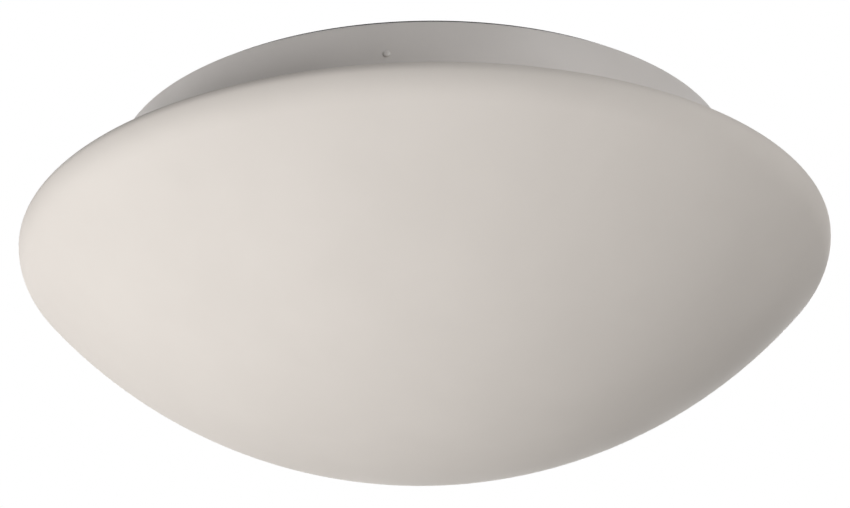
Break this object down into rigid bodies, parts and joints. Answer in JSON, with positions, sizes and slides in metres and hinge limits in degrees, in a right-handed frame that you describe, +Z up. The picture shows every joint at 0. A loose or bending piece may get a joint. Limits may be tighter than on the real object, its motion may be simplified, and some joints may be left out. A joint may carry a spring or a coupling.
{
  "type": "bathroom ceiling light",
  "caption": "Round flush ceiling light: lens-shaped opal glass shade gripped by spring clips under a shallow white steel pan, with a screw-in lamp lying level inside.",
  "frame": {"origin": "centre of the pan's back, in the plane of the ceiling it is screwed to", "axes": "+Z up, out of the pan's back into the ceiling; the lamp lies along X with its holder on the -X side; the rivet seen in the picture is near -Y"},
  "size_m": [0.3, 0.3, 0.1168],
  "materials": {
    "powder_coat": "matt white powder coat on pressed steel",
    "opal_glass": "opal glass, satin etched outside",
    "foam": "closed-cell foam",
    "silicone": "white silicone",
    "rubber": "black moulded rubber",
    "spring_steel": "spring steel strip",
    "zinc_steel": "zinc plated steel",
    "porcelain": "glazed porcelain",
    "brass": "stamped brass",
    "nickel": "nickel plated",
    "polyamide": "moulded polyamide",
    "lamp_white": "moulded white plastic",
    "lamp_globe": "frosted diffuser",
    "black_glass": "black vitrite",
    "lead_brown": "brown insulation",
    "lead_blue": "blue insulation",
    "lead_green": "green and yellow insulation"
  },
  "bodies": {
    "base": {"base_pan": "powder_coat", "ceiling_gasket": "foam", "cable_grommet": "rubber", "shade_clip_1": "spring_steel", "shade_clip_2": "spring_steel", "shade_clip_3": "spring_steel", "clip_rivet_1": "powder_coat", "clip_rivet_2": "powder_coat", "clip_rivet_3": "powder_coat", "lampholder_bracket": "zinc_steel", "bracket_screw_1": "zinc_steel", "bracket_screw_2": "zinc_steel", "lampholder_body": "porcelain", "lampholder_shell": "brass", "lampholder_contact": "brass", "holder_screw_1": "zinc_steel", "holder_screw_2": "zinc_steel", "terminal_block": "polyamide", "terminal_barrel_1": "brass", "terminal_barrel_2": "brass", "terminal_barrel_3": "brass", "terminal_screw_1a": "zinc_steel", "terminal_screw_1b": "zinc_steel", "terminal_screw_2a": "zinc_steel", "terminal_screw_2b": "zinc_steel", "terminal_screw_3a": "zinc_steel", "terminal_screw_3b": "zinc_steel", "terminal_fixing_screw_1": "zinc_steel", "terminal_fixing_screw_2": "zinc_steel", "earth_ring_terminal": "nickel", "earth_washer": "zinc_steel", "earth_screw": "zinc_steel", "lead_live": "lead_brown", "lead_neutral": "lead_blue", "lead_earth": "lead_green"},
    "shade": {"glass_shade": "opal_glass", "shade_seal": "silicone"},
    "lamp_tip": {"lamp_contact": "nickel", "lamp_insulator": "black_glass"},
    "lamp": {"lamp_cap": "nickel", "lamp_housing": "lamp_white", "lamp_globe": "lamp_globe"}
  },
  "joints": [
    {"name": "shade_pull", "type": "slide", "parent": "base", "child": "shade", "axis": [0, 0, -1], "range_m": [0, 0.12], "deforming": ["shade_clip_1", "shade_clip_2", "shade_clip_3"]},
    {"name": "lamp_travel", "type": "slide", "parent": "base", "child": "lamp_tip", "axis": [1, 0, 0], "range_m": [0, 0.01825]},
    {"name": "lamp_turn", "type": "hinge", "parent": "lamp_tip", "child": "lamp", "pos_m": [-0.0646, 0, -0.05], "axis": [1, 0, 0], "range_deg": [0, 1800]}
  ],
  "couplings": [
    {"joint": "lamp_travel", "follows": "lamp_turn", "m_per_rad": 0.00057757}
  ]
}
